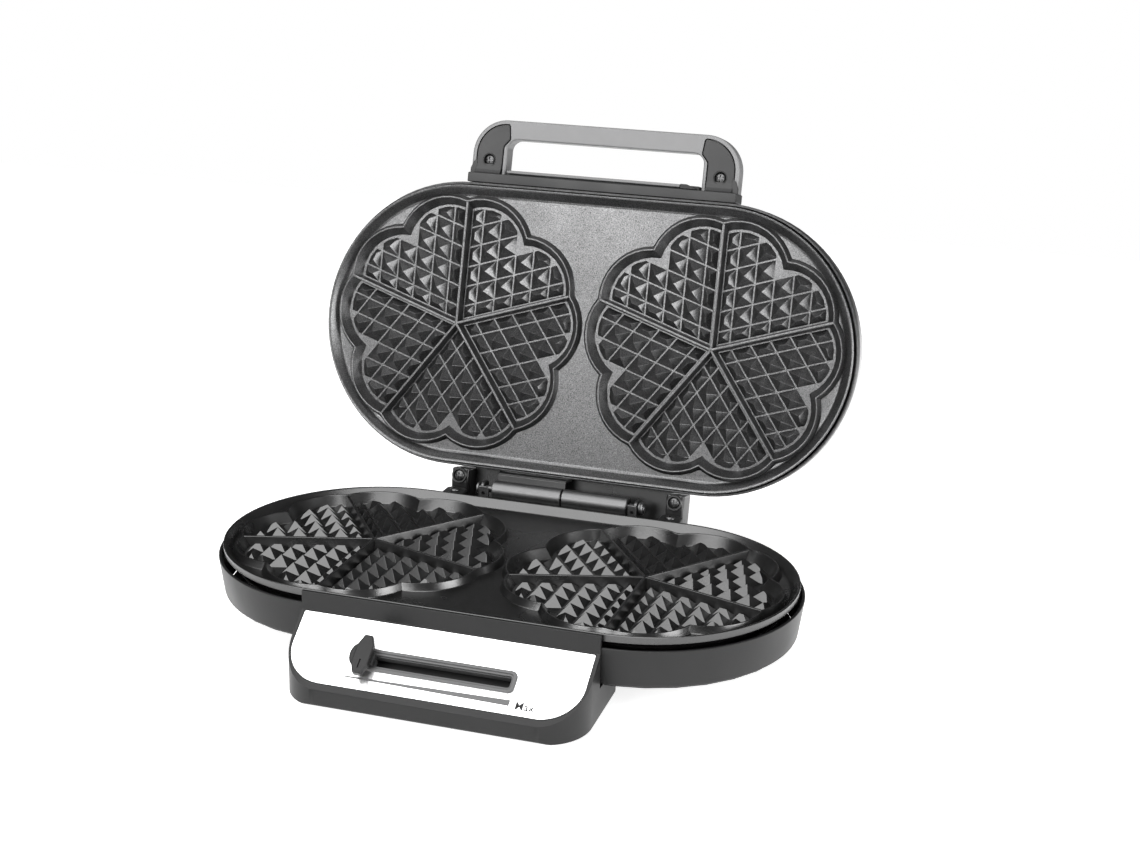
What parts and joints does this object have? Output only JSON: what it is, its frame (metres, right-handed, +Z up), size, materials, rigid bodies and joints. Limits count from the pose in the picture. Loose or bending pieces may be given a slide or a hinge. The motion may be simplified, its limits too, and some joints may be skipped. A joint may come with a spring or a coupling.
{
  "type": "double heart-waffle maker",
  "caption": "Electric waffle maker standing open: twin flower-shaped heart wells in each plate, hinged lid with a looped grip, sloping control panel with a slider.",
  "frame": {"origin": "middle of the open appliance's footprint, on the surface that its feet rest on", "axes": "+X along the hinge from left to right as the user faces it, +Y away from the control panel towards the hinge, +Z up"},
  "size_m": [0.3716, 0.3382, 0.289],
  "materials": {
    "base_plastic": "black moulded plastic, satin gloss",
    "knob_plastic": "dark grey moulded plastic, fine grain",
    "grip_silver": "silver-grey painted plastic, satin",
    "polished_panel": "polished stainless steel sheet",
    "lid_steel": "brushed stainless steel sheet",
    "trim_steel": "bright brushed strip",
    "non_stick": "cast aluminium with a dark non-stick coating",
    "lid_frame_metal": "pressed steel ring, dark grey enamel",
    "hinge_steel": "zinc-plated steel, satin",
    "screw_zinc": "zinc-plated steel",
    "element_steel": "heat-darkened element sheath",
    "reflector_aluminium": "plain aluminium sheet",
    "sensor_copper": "drawn copper alloy",
    "ceramic": "unglazed white steatite",
    "gland_rubber": "black moulded rubber",
    "foot_rubber": "black rubber"
  },
  "bodies": {
    "base": {"base_housing": "base_plastic", "rear_hinge_block": "base_plastic", "rear_left_leg": "base_plastic", "rear_right_leg": "base_plastic", "bottom_cover": "base_plastic", "cable_gland": "gland_rubber", "control_housing": "base_plastic", "control_housing_cover": "base_plastic", "control_panel": "polished_panel", "slot_frame": "knob_plastic", "slider_guide": "base_plastic", "thermostat_body": "ceramic", "thermostat_bulb": "sensor_copper", "thermal_fuse": "screw_zinc", "terminal_block": "ceramic", "lower_plate": "non_stick", "lower_heating_element": "element_steel", "lower_reflector": "reflector_aluminium", "lower_hinge_leaf": "hinge_steel", "hinge_pin": "hinge_steel", "hinge_pin_retainer": "hinge_steel", "front_left_foot": "foot_rubber", "front_right_foot": "foot_rubber", "rear_left_foot": "foot_rubber", "rear_right_foot": "foot_rubber", "bottom_cover_screw_1": "screw_zinc", "lower_leaf_screw_1": "screw_zinc", "bottom_cover_screw_2": "screw_zinc", "lower_leaf_screw_2": "screw_zinc", "bottom_cover_screw_3": "screw_zinc", "lower_leaf_screw_3": "screw_zinc", "bottom_cover_screw_4": "screw_zinc", "lower_leaf_screw_4": "screw_zinc", "lower_reflector_screw_1": "screw_zinc", "ear_screw_1": "screw_zinc", "lower_reflector_screw_2": "screw_zinc", "ear_screw_2": "screw_zinc"},
    "slider": {"slider_knob": "knob_plastic", "slider_carriage": "base_plastic"},
    "push_rod": {"thermostat_push_rod": "hinge_steel"},
    "lid": {"upper_plate": "non_stick", "upper_heating_element": "element_steel", "upper_reflector": "reflector_aluminium", "lid_frame": "lid_frame_metal", "lid_cover": "lid_steel", "lid_hinge_cover": "base_plastic", "upper_hinge_leaf": "hinge_steel", "lid_handle_grip": "grip_silver", "lid_handle_yoke": "base_plastic", "lid_trim_strip": "trim_steel", "lid_trim_clip": "knob_plastic", "upper_reflector_screw_1": "screw_zinc", "lid_hinge_cover_screw_1": "screw_zinc", "upper_leaf_screw_1": "screw_zinc", "lid_handle_screw_1": "screw_zinc", "upper_reflector_screw_2": "screw_zinc", "lid_hinge_cover_screw_2": "screw_zinc", "upper_leaf_screw_2": "screw_zinc", "lid_handle_screw_2": "screw_zinc"}
  },
  "joints": [
    {"name": "lid_hinge", "type": "hinge", "parent": "base", "child": "lid", "pos_m": [0, 0.0765, 0.0533], "axis": [1, 0, 0], "range_deg": [0, 104.8]},
    {"name": "temperature_slide", "type": "slide", "parent": "base", "child": "slider", "axis": [1, 0, 0], "range_m": [0, 0.085]},
    {"name": "push_rod_slide", "type": "slide", "parent": "base", "child": "push_rod", "axis": [0, 1, 0], "range_m": [0, 0.0021]}
  ],
  "couplings": [
    {"joint": "push_rod_slide", "follows": "temperature_slide", "ratio": 0.023529}
  ]
}
